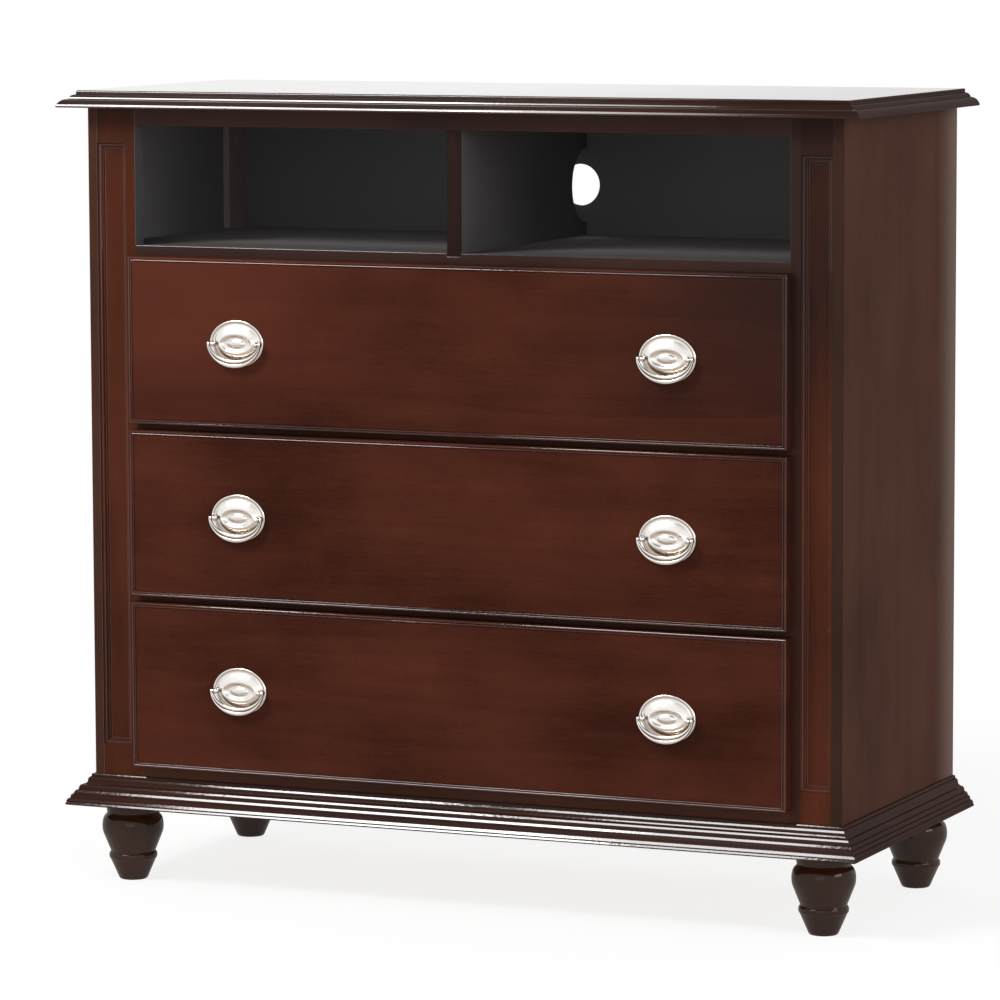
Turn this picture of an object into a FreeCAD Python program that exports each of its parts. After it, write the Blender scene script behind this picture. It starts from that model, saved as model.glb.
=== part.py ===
"""Media chest: an open cubby in two bays over three drawers, on four turned feet.

Sizes are in millimetres. X runs to the right as the chest is faced, Y to the back and Z up.
The origin is on the floor, in the middle of the overall width and depth. A depth, with a
name that ends in _d, is measured forward from the back plane of the chest.
"""
import FreeCAD
import Part
import math
import os

Vector = FreeCAD.Vector

# Heights, from the floor up
foot_height = 105.0
base_moulding_height = 40.0
bottom_rail_reveal = 16.0
drawer_front_height = 220.0
drawer_front_gap = 8.0
drawer_count = 3
shelf_reveal = 13.0
cubby_height = 157.0
top_rail_height = 23.0
top_thickness = 22.0

# Carcass
body_width = 1056.0
body_depth = 427.0
side_thickness = 14.0
corner_round = 3.0
frame_thickness = 22.0
pilaster_board_width = 42.0
pilaster_strip_width = 14.0
back_panel_thickness = 6.0
back_panel_inset = 9.0
bottom_board_thickness = 12.0
divider_thickness = 19.5
divider_housing = 4.0
corner_post_width = 9.0
corner_post_depth = 47.0
rear_rail_depth = 22.0
dust_frame_depth = 45.0
side_runner_width = 74.0
centre_runner_width = 30.0
centre_runner_rise = 9.0
centre_runner_seat = 38.0

# Cable passage
cable_hole_radius = 28.0
cable_hole_rise = 67.0
cable_notch_radius = 50.0

# Pilaster panel, sunk into the centre board over its whole width
panel_low_margin = 41.0
panel_high_margin = 46.5
panel_moulding_width = 8.3
panel_depth = 8.2

# Mouldings round the top and the base
top_overhang_side = 31.0
top_overhang_front = 30.0
top_moulding_width = 21.5
base_moulding_reach = 30.0

# Feet
foot_inset = 36.5
foot_block_side = 90.0
foot_bulb_radius = 41.0
foot_bolt_radius = 4.0
foot_bolt_down = 35.0
foot_bolt_up = 22.0

# Drawers
side_overlay = 3.0
rail_overlay = 6.0
front_field_thickness = 18.4
front_bead_height = 1.6
front_edge_band = 9.0
front_rest_gap = 0.6
box_side_gap = 6.0
box_top_clearance = 40.0
box_rear_clearance = 42.0
box_board = 12.0
box_bottom_thickness = 5.0
box_bottom_rise = 12.0
box_groove_depth = 6.0
runner_gap = 0.5
guide_strip_width = 9.0
guide_strip_drop = 11.0
notch_side_gap = 3.0
notch_top_gap = 2.0
tail_count = 4
tail_flare = 2.0
tail_share = 0.56

# Pulls
pull_inset = 159.5
plate_half_width = 38.75
plate_half_height = 31.0
plate_thickness = 1.6
post_offset = 31.0
post_neck_radius = 2.4
post_foot_radius = 3.1
post_ball_radius = 3.6
pivot_height = 9.0
bail_forward = 0.3
bail_half_width = 38.75
bail_drop = 33.5
bail_end_rise = 2.0
bail_end_width = 3.1
bail_grip_width = 11.0
bail_end_thickness = 3.8
bail_grip_thickness = 5.2
bail_pin_radius = 1.2
bail_pin_clearance = 0.06
knuckle_radius = 2.4
knuckle_gap = 0.25

# Flats that stand for a round, where a piece is small or repeats
foot_facets = 16
bolt_facets = 8
plate_facets = 16
post_facets = 8
bore_facets = 8
arc_facets = 2
bail_facets = 8
bail_spans = 4

# A face whose corners leave its plane by more than this is made of two triangles
flatness = 1e-6

# Cutting tools pass the faces that they cut by this much
overrun = 5.0

# Worked out from the sizes above
base_top_z = foot_height + base_moulding_height
lowest_front_z = base_top_z + bottom_rail_reveal
drawer_pitch = drawer_front_height + drawer_front_gap
highest_front_z = lowest_front_z + drawer_count * drawer_pitch - drawer_front_gap
shelf_top_z = highest_front_z + shelf_reveal
top_rail_z = shelf_top_z + cubby_height
body_top_z = top_rail_z + top_rail_height
chest_top_z = body_top_z + top_thickness

half_body = body_width / 2
inner_half = half_body - side_thickness
half_opening = inner_half - pilaster_board_width - pilaster_strip_width
pilaster_joint_x = half_opening + pilaster_strip_width
frame_back_d = body_depth - frame_thickness
back_panel_d = back_panel_inset + back_panel_thickness
dust_rail_thickness = drawer_front_gap + 2 * rail_overlay
shelf_thickness = shelf_reveal + rail_overlay
cable_hole_z = shelf_top_z + cable_hole_rise

front_back_d = body_depth + front_rest_gap
field_d = front_back_d + front_field_thickness
pivot_d = field_d + pivot_height
overall_depth = pivot_d + post_ball_radius
back_y = overall_depth / 2

drawer_front_width = 2 * (half_opening + side_overlay)
pull_x = drawer_front_width / 2 - pull_inset
box_half = half_opening - box_side_gap
box_inner_half = box_half - box_board
box_height = drawer_front_height - box_top_clearance
box_back_d = back_panel_d + box_rear_clearance
foot_x = half_body - foot_inset
foot_front_d = body_depth - foot_inset
foot_rear_d = foot_bulb_radius
levels = [lowest_front_z + i * drawer_pitch + rail_overlay for i in range(drawer_count)]
drawer_names = ["lower", "middle", "upper"]
sides = [("left", -1), ("right", 1)]


def save(name, *solids):
    """Write one node: a solid, or a group of separate solids."""
    shape = solids[0] if len(solids) == 1 else Part.makeCompound(list(solids))
    bad = [s for s in shape.Solids if not s.isValid()]
    print(name, "solids", len(shape.Solids), "volume", round(shape.Volume), "bad", len(bad))
    shape.exportStep("parts/" + name + ".step")


def board(x0, x1, d0, d1, z0, z1):
    """Board between two X values, two depths and two heights."""
    return Part.makeBox(x1 - x0, d1 - d0, z1 - z0, Vector(x0, back_y - d1, z0))


def mirrored(shape, side):
    """The shape as made for the right, or its mirror image for the left."""
    return shape if side > 0 else shape.mirror(Vector(0, 0, 0), Vector(1, 0, 0))


def outline(points, place):
    """Closed face from a start point and steps of one point, a line, or two, an arc."""
    here = place(*points[0])
    first = here
    edges = []
    for step in points[1:]:
        ends = [place(*p) for p in step]
        if len(ends) == 2:
            edges.append(Part.Arc(here, ends[0], ends[1]).toShape())
        else:
            edges.append(Part.LineSegment(here, ends[0]).toShape())
        here = ends[-1]
    edges.append(Part.LineSegment(here, first).toShape())
    return Part.Face(Part.Wire(edges))


def flat_face(corners):
    """Flat face between corners."""
    return Part.Face(Part.makePolygon(corners + [corners[0]]))


def polygon(points, place):
    """Closed face with straight sides, its points put in place."""
    return flat_face([place(*p) for p in points])


def scaled(shares, width, height):
    """Outline steps given as shares of a width and a height, in lengths."""
    start = (shares[0][0] * width, shares[0][1] * height)
    steps = [[(u * width, v * height) for u, v in step] for step in shares[1:]]
    return [start] + steps


# Edge of the top, from the joint with the board out to the nose, then back up:
# shares of the moulding's width and of the top's thickness
top_edge_shares = [
    (0.0, 0.0),
    [(0.96, 0.0)],
    [(1.0, 0.05), (0.985, 0.12)],
    [(0.82, 0.36), (0.47, 0.50)],
    [(0.41, 0.53)],
    [(0.38, 0.60)],
    [(0.30, 0.69), (0.10, 0.76)],
    [(0.05, 0.83)],
    [(0.03, 0.98), (0.0, 1.0)],
]

# Base moulding, from the body out to the nose, then up to the ledge:
# shares of its reach and of its height
base_edge_shares = [
    (0.0, 0.0),
    [(0.955, 0.0)], [(0.99, 0.02)], [(1.0, 0.05)], [(0.985, 0.085)], [(0.95, 0.1)], [(0.955, 0.14)],
    [(0.94, 0.18)], [(0.89, 0.21)], [(0.83, 0.22)], [(0.81, 0.29)], [(0.8, 0.325)], [(0.76, 0.35)],
    [(0.72, 0.355)], [(0.7, 0.4)], [(0.68, 0.43)], [(0.63, 0.46)], [(0.57, 0.47)], [(0.53, 0.53)],
    [(0.51, 0.59)], [(0.47, 0.63)], [(0.38, 0.645)], [(0.31, 0.69)], [(0.26, 0.75)], [(0.235, 0.83)],
    [(0.21, 0.87)], [(0.17, 0.895)], [(0.12, 0.9)], [(0.11, 0.975)], [(0.09, 1.0)], [(0.0, 1.0)],
]

# Edge of a drawer front, from its rim inward: a round edge, and a bead between two quirks:
# shares of the band's width, and of the field's thickness, then of the bead's height
front_edge_shares = [
    (0.0, 0.0, 0.0),
    [(0.0, 0.78, 0.0)],
    [(0.02, 0.88, 0.0)],
    [(0.06, 0.95, 0.0)],
    [(0.12, 1.0, 0.0)],
    [(0.20, 1.0, 0.30)],
    [(0.28, 1.0, 0.42)],
    [(0.35, 1.0, 0.30)],
    [(0.40, 1.0, -0.50)],
    [(0.45, 1.0, 0.10)],
    [(0.52, 1.0, 0.62)],
    [(0.59, 1.0, 0.80)],
    [(0.64, 1.0, 0.62)],
    [(0.68, 1.0, 0.0)],
    [(0.72, 1.0, -0.55)],
    [(0.78, 1.0, 0.0)],
    [(1.0, 1.0, 0.0)],
    [(1.0, 0.0, 0.0)],
]

# Turned foot, from the middle of the sole outward and up:
# shares of the bulb's radius and of the foot's height
foot_shares = [
    (0.0, 0.0),
    [(0.34, 0.0)],
    [(0.455, 0.012), (0.505, 0.050)],
    [(0.735, 0.255)],
    [(0.750, 0.266)],
    [(0.785, 0.306), (0.750, 0.346)],
    [(0.728, 0.363)],
    [(0.945, 0.575)],
    [(1.0, 0.690), (0.893, 0.822)],
    [(0.850, 0.845)],
    [(0.835, 0.862)],
    [(0.850, 0.885)],
    [(0.850, 1.0)],
    [(0.0, 1.0)],
]

# Panel moulding of a pilaster, from its outer edge: shares of its width and depth
panel_edge_shares = [
    (0.0, 0.0), (0.04, 0.26), (0.26, 0.30), (0.44, 0.38), (0.56, 0.54), (0.62, 0.68), (0.82, 0.73),
    (0.88, 0.95), (1.0, 1.0),
]

# Rings of the oval plate, from its rim over the dish and the boss into the sunk bowl:
# shares of the half width, of the half height, and of the plate's thickness
plate_ring_shares = [
    (1.0, 1.0, 0.0), (1.0, 1.0, 0.6), (0.985, 0.98, 1.5), (0.95, 0.94, 1.9), (0.915, 0.895, 1.5),
    (0.885, 0.855, 1.0), (0.545, 0.46, 1.0), (0.50, 0.40, 2.35), (0.435, 0.325, 3.0),
    (0.36, 0.225, 1.9),
]


def ring(facets, half_width, half_height, place):
    """Corners of a closed line of flats that stands for an oval."""
    angles = [2 * math.pi * i / facets for i in range(facets)]
    return [place(half_width * math.cos(angle), half_height * math.sin(angle)) for angle in angles]


def skinned(rings):
    """Solid with flat faces from ring to ring, closed by its first and last ring."""
    faces = [flat_face(rings[0]), flat_face(rings[-1])]
    for low, high in zip(rings, rings[1:]):
        for i in range(len(low)):
            a, b, c, d = low[i - 1], low[i], high[i], high[i - 1]
            normal = (b - a).cross(d - a).normalize()
            if abs(normal.dot(c - a)) < flatness:
                faces.append(flat_face([a, b, c, d]))
            else:
                faces += [flat_face([a, b, c]), flat_face([a, c, d])]
    solid = Part.Solid(Part.Shell(faces))
    if solid.Volume < 0:
        solid.reverse()
    return solid


def turned(steps, facets, place):
    """Turned solid with flats: place puts a point across, across and along the axis."""
    points = [steps[0]]
    for step in steps[1:]:
        if len(step) == 2:
            ends = [Vector(u, v, 0) for u, v in [points[-1]] + step]
            arc = Part.Arc(*ends).discretize(Number=arc_facets + 1)
            points += [(p.x, p.y) for p in arc[1:]]
        else:
            points.append(step[0])
    return skinned([
        ring(facets, r, r, lambda a, b: place(a, b, along)) for r, along in points if r > 0])


def moulding_run(shares, reach, height, half_width, front_d, low_z):
    """Front, left and right lengths of a moulding on three sides, mitred at the corners."""
    steps = scaled(shares, reach, height)
    tip_half = half_width + reach
    tip_d = front_d + reach

    def front_place(u, v):
        return Vector(-tip_half, back_y - front_d - u, low_z + v)

    def side_place(u, v):
        return Vector(half_width + u, back_y, low_z + v)

    def plan_place(x, d):
        return Vector(x, back_y - d, low_z - overrun)

    up = Vector(0, 0, height + 2 * overrun)
    front = outline(steps, front_place).extrude(Vector(2 * tip_half, 0, 0))
    front_plan = [(-half_width, front_d), (half_width, front_d), (tip_half, tip_d), (-tip_half, tip_d)]
    front = front.common(polygon(front_plan, plan_place).extrude(up))
    side = outline(steps, side_place).extrude(Vector(0, -tip_d, 0))
    side_plan = [(half_width, 0), (tip_half, 0), (tip_half, tip_d), (half_width, front_d)]
    side = side.common(polygon(side_plan, plan_place).extrude(up))
    return front, mirrored(side, -1), side


def make_top():
    """Top board with its moulded edge on three sides."""
    half_board = half_body + top_overhang_side - top_moulding_width
    board_d = body_depth + top_overhang_front - top_moulding_width
    save("top_board", board(-half_board, half_board, 0, board_d, body_top_z, chest_top_z))
    front, left, right = moulding_run(
        top_edge_shares, top_moulding_width, top_thickness, half_board, board_d, body_top_z)
    save("top_moulding_front", front)
    save("top_moulding_left", left)
    save("top_moulding_right", right)


def make_base_moulding():
    """Moulding round the foot of the body, on three sides."""
    front, left, right = moulding_run(
        base_edge_shares, base_moulding_reach, base_moulding_height, half_body, body_depth, foot_height)
    save("base_moulding_front", front)
    save("base_moulding_left", left)
    save("base_moulding_right", right)


def sunk_panel(x0, x1, z0, z1):
    """Cutter for a sunk panel with a mitred moulding, open at the face of the frame."""
    wires = []
    for across, down in panel_edge_shares:
        inset = across * panel_moulding_width
        y = back_y - body_depth + down * panel_depth
        corners = [
            Vector(x0 + inset, y, z0 + inset), Vector(x1 - inset, y, z0 + inset),
            Vector(x1 - inset, y, z1 - inset), Vector(x0 + inset, y, z1 - inset),
        ]
        wires.append(Part.makePolygon(corners + [corners[0]]))
    return Part.makeLoft(wires, True, True)


def make_sides():
    """Side panels, with the front corner rounded, and the pilasters that face the frame."""
    panel = board(inner_half, half_body, 0, body_depth, foot_height, body_top_z)
    front_edges = [
        e for e in panel.Edges
        if e.BoundBox.ZLength > body_top_z - foot_height - overrun
        and e.BoundBox.XMin > half_body - side_thickness / 2
        and e.BoundBox.YMin < back_y - body_depth + frame_thickness
    ]
    panel = panel.makeFillet(corner_round, front_edges)
    centre = board(pilaster_joint_x, inner_half, frame_back_d, body_depth, foot_height, body_top_z)
    centre = centre.cut(sunk_panel(
        pilaster_joint_x, inner_half, base_top_z + panel_low_margin, body_top_z - panel_high_margin))
    strip = board(half_opening, pilaster_joint_x, frame_back_d, body_depth, foot_height, body_top_z)
    for name, side in sides:
        save(name + "_side_panel", mirrored(panel, side))
        save(name + "_pilaster", mirrored(centre, side))
        save(name + "_pilaster_strip", mirrored(strip, side))


def make_rails():
    """Rails of the front frame and the rear rails behind them."""
    save("top_rail", board(-half_opening, half_opening, frame_back_d, body_depth, top_rail_z, body_top_z))
    rails = [
        board(-half_opening, half_opening, body_depth - dust_frame_depth, body_depth,
              z - dust_rail_thickness, z)
        for z in levels[1:]
    ]
    save("drawer_rails", *rails)
    lowest = levels[0]
    upright = board(-half_opening, half_opening, frame_back_d, body_depth, foot_height, lowest)
    flange = board(-half_opening, half_opening, body_depth - dust_frame_depth, frame_back_d,
                   lowest - dust_rail_thickness, lowest)
    save("bottom_rail", upright.fuse(flange).removeSplitter())

    post_face = inner_half - corner_post_width
    rear_d = back_panel_d + rear_rail_depth
    bottom_z = lowest - dust_rail_thickness - bottom_board_thickness
    block_face = inner_half - foot_block_side
    rear = [board(-post_face, post_face, back_panel_d, rear_d, top_rail_z, body_top_z)]
    rear.append(board(-block_face, block_face, back_panel_d, rear_d, foot_height, bottom_z))
    for z in levels:
        rear.append(board(-inner_half, inner_half, back_panel_d, back_panel_d + dust_frame_depth,
                          z - dust_rail_thickness, z))
    save("rear_rails", *rear)


def make_runners():
    """Side runners that carry the drawers, and centre runners that steer them."""
    front_d = body_depth - dust_frame_depth
    rear_d = back_panel_d + dust_frame_depth
    side_runners = []
    centre_runners = []
    half = centre_runner_width / 2
    for z in levels:
        low = z - dust_rail_thickness
        runner = board(inner_half - side_runner_width, inner_half, rear_d, front_d, low, z)
        side_runners += [mirrored(runner, side) for _, side in sides]
        body = board(-half, half, rear_d, front_d, low, z + centre_runner_rise)
        ends = board(-half, half, rear_d - centre_runner_seat, front_d + centre_runner_seat,
                     z, z + centre_runner_rise)
        centre_runners.append(body.fuse(ends).removeSplitter())
    save("side_runners", *side_runners)
    save("centre_runners", *centre_runners)


def make_cubby():
    """Shelf, divider with its cable notch, back panels with the cable hole, and corner posts."""
    low = shelf_top_z - shelf_thickness
    shelf = board(-inner_half, inner_half, back_panel_d, frame_back_d, low, shelf_top_z)
    nose = board(-half_opening, half_opening, frame_back_d, body_depth, low, shelf_top_z)
    shelf = shelf.fuse(nose).removeSplitter()
    half = divider_thickness / 2
    housing_z = shelf_top_z - divider_housing
    housing = board(-half, half, back_panel_d, body_depth, housing_z, shelf_top_z)
    post = board(inner_half - corner_post_width, inner_half, back_panel_d,
                 back_panel_d + corner_post_depth, low, body_top_z)
    posts = [mirrored(post, side) for _, side in sides]
    save("cubby_shelf", shelf.cut([housing] + posts))
    save("corner_posts", *posts)

    rear_d = back_panel_d + rear_rail_depth
    profile = [
        (back_panel_d, housing_z), (body_depth, housing_z), (body_depth, top_rail_z),
        (frame_back_d, top_rail_z), (frame_back_d, body_top_z), (rear_d, body_top_z),
        (rear_d, top_rail_z), (back_panel_d, top_rail_z),
    ]
    divider = polygon(profile, lambda d, z: Vector(-half, back_y - d, z))
    divider = divider.extrude(Vector(divider_thickness, 0, 0))
    notch = Part.makeCylinder(
        cable_notch_radius, divider_thickness + 2 * overrun,
        Vector(-half - overrun, back_y - back_panel_d, cable_hole_z), Vector(1, 0, 0))
    save("cubby_divider", divider.cut(notch))

    seam_z = shelf_top_z - shelf_thickness / 2
    upper = board(-inner_half, inner_half, back_panel_inset, back_panel_d, seam_z, body_top_z)
    hole = Part.makeCylinder(
        cable_hole_radius, back_panel_thickness + 2 * overrun,
        Vector(0, back_y - back_panel_d - overrun, cable_hole_z), Vector(0, 1, 0))
    save("upper_back_panel", upper.cut(hole))
    save("lower_back_panel",
         board(-inner_half, inner_half, back_panel_inset, back_panel_d, foot_height, seam_z))


def make_feet():
    """Bottom board, corner blocks, turned feet and the bolts that hold them."""
    top_z = levels[0] - dust_rail_thickness
    low_z = top_z - bottom_board_thickness
    save("bottom_board", board(-inner_half, inner_half, back_panel_d, frame_back_d, low_z, top_z))

    steps = scaled(foot_shares, foot_bulb_radius, foot_height)
    foot = turned(steps, foot_facets, Vector)
    bolt_steps = [(foot_bolt_radius, foot_height - foot_bolt_down),
                  [(foot_bolt_radius, foot_height + foot_bolt_up)]]
    bolt = turned(bolt_steps, bolt_facets, Vector)
    foot = foot.cut(bolt)
    blocks = []
    bolts = []
    places = [("front", foot_front_d, frame_back_d - foot_block_side),
              ("rear", foot_rear_d, back_panel_d)]
    for where, centre_d, block_d in places:
        for name, side in sides:
            move = Vector(side * foot_x, back_y - centre_d, 0)
            save(where + "_" + name + "_foot", foot.translated(move))
            placed_bolt = bolt.translated(move)
            bolts.append(placed_bolt)
            block = board(inner_half - foot_block_side, inner_half, block_d,
                          block_d + foot_block_side, foot_height, low_z)
            blocks.append(mirrored(block, side).cut(placed_bolt))
    save("foot_blocks", *blocks)
    save("foot_bolts", *bolts)


def make_drawer_front(low_z):
    """Overlay front: a flat field in a frame of mitred edge moulding."""
    half_w = drawer_front_width / 2
    half_h = drawer_front_height / 2
    front = board(-half_w + front_edge_band, half_w - front_edge_band, front_back_d, field_d,
                  low_z + front_edge_band, low_z + drawer_front_height - front_edge_band)

    def lengths(point):
        across, up_field, up_bead = point
        return (across * front_edge_band,
                up_field * front_field_thickness + up_bead * front_bead_height)

    steps = [lengths(front_edge_shares[0])]
    steps += [[lengths(p) for p in step] for step in front_edge_shares[1:]]
    centre = Vector(0, back_y - front_back_d, low_z + half_h)
    strips = []
    for turn in range(4):
        run, reach = (half_w, half_h) if turn % 2 == 0 else (half_h, half_w)
        strip = outline(steps, lambda u, h: Vector(-run, -h, reach - u)).extrude(Vector(2 * run, 0, 0))
        inner_run = run - front_edge_band
        inner_reach = reach - front_edge_band
        mitre = polygon(
            [(-run, reach), (run, reach), (inner_run, inner_reach), (-inner_run, inner_reach)],
            lambda x, z: Vector(x, overrun, z))
        strip = strip.common(mitre.extrude(Vector(0, -front_field_thickness - 2 * overrun, 0)))
        strip.rotate(Vector(0, 0, 0), Vector(0, 1, 0), 90 * turn)
        strip.translate(centre)
        strips.append(strip)
    return front.multiFuse(strips).removeSplitter()


def make_box_side(low_z):
    """Right side of a drawer box, with dovetails at both ends and a groove for the bottom."""
    front_d = body_depth
    back_d = box_back_d
    pitch = box_height / tail_count
    tail = pitch * tail_share
    points = [(back_d + box_board, low_z)]
    for end_d, shoulder_d, order in (
            (front_d, front_d - box_board, range(tail_count)),
            (back_d, back_d + box_board, reversed(range(tail_count)))):
        climb = 1 if end_d > shoulder_d else -1
        if climb > 0:
            points.append((shoulder_d, low_z))
        else:
            points.append((shoulder_d, low_z + box_height))
        for i in order:
            middle = low_z + (i + 0.5) * pitch
            first = middle - climb * tail / 2
            last = middle + climb * tail / 2
            points.append((shoulder_d, first))
            points.append((end_d, first - climb * tail_flare))
            points.append((end_d, last + climb * tail_flare))
            points.append((shoulder_d, last))
        if climb > 0:
            points.append((shoulder_d, low_z + box_height))
    side = polygon(points, lambda d, z: Vector(box_inner_half, back_y - d, z))
    side = side.extrude(Vector(box_board, 0, 0))
    groove = board(box_inner_half - overrun, box_inner_half + box_groove_depth,
                   back_d + box_board - box_groove_depth, front_d - box_board + box_groove_depth,
                   low_z + box_bottom_rise, low_z + box_bottom_rise + box_bottom_thickness)
    return side.cut(groove)


def make_box_end(front_d, low_z, box_sides, bottom):
    """Front or back of a drawer box, cut for the dovetails, the bottom and the centre runner."""
    end = board(-box_half, box_half, front_d - box_board, front_d, low_z, low_z + box_height)
    notch_half = centre_runner_width / 2 + notch_side_gap
    notch_top = low_z - runner_gap + centre_runner_rise + notch_top_gap
    notch = board(-notch_half, notch_half, front_d - box_board - overrun, front_d + overrun,
                  low_z - overrun, notch_top)
    return end.cut([notch, bottom] + box_sides)


def make_plate():
    """Oval back plate: a rounded rim, a dished field and a boss with a sunk bowl."""
    return skinned([
        ring(plate_facets, w * plate_half_width, h * plate_half_height,
             lambda x, z: Vector(x, -up * plate_thickness, z))
        for w, h, up in plate_ring_shares])


def make_post():
    """Round post with a ball end, cross bored for the bail's pin."""
    neck_top = pivot_height - math.sqrt(post_ball_radius ** 2 - post_neck_radius ** 2)
    ball_edge = post_ball_radius * math.sin(math.pi / 4)
    steps = [
        (post_foot_radius, plate_thickness),
        [(post_neck_radius, plate_thickness + post_foot_radius - post_neck_radius)],
        [(post_neck_radius, neck_top)],
        [(post_ball_radius, pivot_height)],
        [(ball_edge, pivot_height + ball_edge)],
        [(ball_edge / 2, pivot_height + post_ball_radius)],
    ]
    post = turned(steps, post_facets, lambda x, z, up: Vector(x, -up, z))
    bore_radius = (bail_pin_radius + bail_pin_clearance) / math.cos(math.pi / bore_facets)
    reach = post_ball_radius + overrun
    bore = turned([(bore_radius, -reach), [(bore_radius, reach)]], bore_facets,
                  lambda y, z, along: Vector(along, y - pivot_height, z))
    return post.cut(bore)


def make_bail():
    """Crescent bail with a knuckle and a round pin at each end, hanging from its posts."""
    inner_half_width = bail_half_width - bail_end_width
    inner_drop = bail_drop - bail_grip_width
    middle_y = -pivot_height - bail_forward
    rings = []
    for i in range(bail_spans + 1):
        angle = math.pi / 2 * i / bail_spans
        c = math.cos(angle)
        s = math.sin(angle)
        outer = Vector(bail_half_width * c, middle_y, bail_end_rise - bail_drop * s)
        inner = Vector(inner_half_width * c, middle_y, bail_end_rise - inner_drop * s)
        middle = (outer + inner) / 2
        across = (outer - inner) / 2
        thickness = bail_end_thickness + (bail_grip_thickness - bail_end_thickness) * s
        rings.append(ring(bail_facets, 1, thickness / 2,
                          lambda a, b: middle + across * a + Vector(0, b, 0)))
    crescent = skinned(rings)
    knuckle_start = post_offset + post_ball_radius + knuckle_gap
    knuckle = turned([(knuckle_radius, knuckle_start), [(knuckle_radius, bail_half_width)]], bail_facets,
                     lambda y, z, along: Vector(along, y - pivot_height, z))
    pin_start = post_offset - post_ball_radius
    pin_end = inner_half_width + bail_end_width / 2
    pin = Part.makeCylinder(bail_pin_radius, pin_end - pin_start,
                            Vector(pin_start, -pivot_height, 0), Vector(1, 0, 0))
    half = crescent.fuse([knuckle, pin])
    return half.fuse(mirrored(half, -1)).removeSplitter()


def make_drawers():
    """Three drawers: moulded front, dovetailed box, bottom, guide strips and two pulls."""
    plate = make_plate()
    post = make_post()
    bail = make_bail()
    for i in range(drawer_count):
        name = drawer_names[i] + "_drawer_"
        front_z = lowest_front_z + i * drawer_pitch
        box_z = levels[i] + runner_gap
        save(name + "front", make_drawer_front(front_z))

        right = make_box_side(box_z)
        box_sides = [right, mirrored(right, -1)]
        bottom_z = box_z + box_bottom_rise
        bottom_half = box_inner_half + box_groove_depth
        bottom = board(-bottom_half, bottom_half,
                       box_back_d + box_board - box_groove_depth, body_depth - box_board + box_groove_depth,
                       bottom_z, bottom_z + box_bottom_thickness)
        ends = [make_box_end(d, box_z, box_sides, bottom) for d in (body_depth, box_back_d + box_board)]
        save(name + "sides", *box_sides)
        save(name + "ends", *ends)
        save(name + "bottom", bottom)

        strip_x = centre_runner_width / 2 + runner_gap
        strip = board(strip_x, strip_x + guide_strip_width, box_back_d + box_board,
                      body_depth - box_board, bottom_z - guide_strip_drop, bottom_z)
        save(name + "guides", *[mirrored(strip, side) for _, side in sides])

        pull_z = front_z + drawer_front_height / 2
        plates = []
        posts = []
        for side_name, side in sides:
            middle = Vector(side * pull_x, back_y - field_d, pull_z)
            plates.append(plate.translated(middle))
            posts += [post.translated(middle + Vector(post_offset * s, 0, 0)) for s in (-1, 1)]
            save(drawer_names[i] + "_" + side_name + "_bail", bail.translated(middle))
        save(name + "pull_plates", *plates)
        save(name + "pull_posts", *posts)


os.makedirs("parts", exist_ok=True)
make_top()
make_sides()
make_rails()
make_runners()
make_cubby()
make_base_moulding()
make_feet()
make_drawers()
print("width", body_width + 2 * top_overhang_side, "depth", overall_depth, "height", chest_top_z)
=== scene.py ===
"""Media chest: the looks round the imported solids. Lengths are in metres unless a name ends in mm."""
import math

import bpy
from mathutils import Matrix, Vector


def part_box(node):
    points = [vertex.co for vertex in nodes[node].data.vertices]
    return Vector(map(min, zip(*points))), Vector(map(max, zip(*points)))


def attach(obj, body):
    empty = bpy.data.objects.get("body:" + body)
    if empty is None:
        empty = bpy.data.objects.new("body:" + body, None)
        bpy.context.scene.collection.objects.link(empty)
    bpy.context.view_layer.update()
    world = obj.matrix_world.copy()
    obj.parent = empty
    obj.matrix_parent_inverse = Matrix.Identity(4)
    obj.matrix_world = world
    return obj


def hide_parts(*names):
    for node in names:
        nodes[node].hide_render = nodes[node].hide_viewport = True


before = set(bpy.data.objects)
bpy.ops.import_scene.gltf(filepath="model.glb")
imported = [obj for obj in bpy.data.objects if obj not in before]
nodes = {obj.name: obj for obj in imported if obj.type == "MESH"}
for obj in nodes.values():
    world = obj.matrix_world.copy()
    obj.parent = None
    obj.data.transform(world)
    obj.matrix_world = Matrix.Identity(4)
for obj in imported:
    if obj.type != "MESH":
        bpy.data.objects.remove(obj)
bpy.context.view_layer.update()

MM = 0.001
LEVELS = ("lower", "middle", "upper")
SIDES = (("left", -1), ("right", 1))

# Planes and lines of the chest, from its solids
FRONT_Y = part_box("right_side_panel")[0].y
REAR_FACE_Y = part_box("lower_back_panel")[1].y
OPENING_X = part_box("top_rail")[1].x
SIDE_INNER_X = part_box("upper_back_panel")[1].x
SHELF_TOP_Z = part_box("cubby_shelf")[1].z
BOX_FRONT_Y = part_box("upper_drawer_ends")[0].y
BOX_BOARD = 0.012

# Camera, fitted to the photo: turns in radians
CAMERA_YAW = -0.4179
CAMERA_PITCH = -0.1145
CAMERA_ROLL = -0.0035
CAMERA_PLACE = (2.7592, -6.2696, 1.3006)
LENS_MM = 188.47
SENSOR_MM = 36
NEAREST = 0.1
FURTHEST = 200


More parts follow.
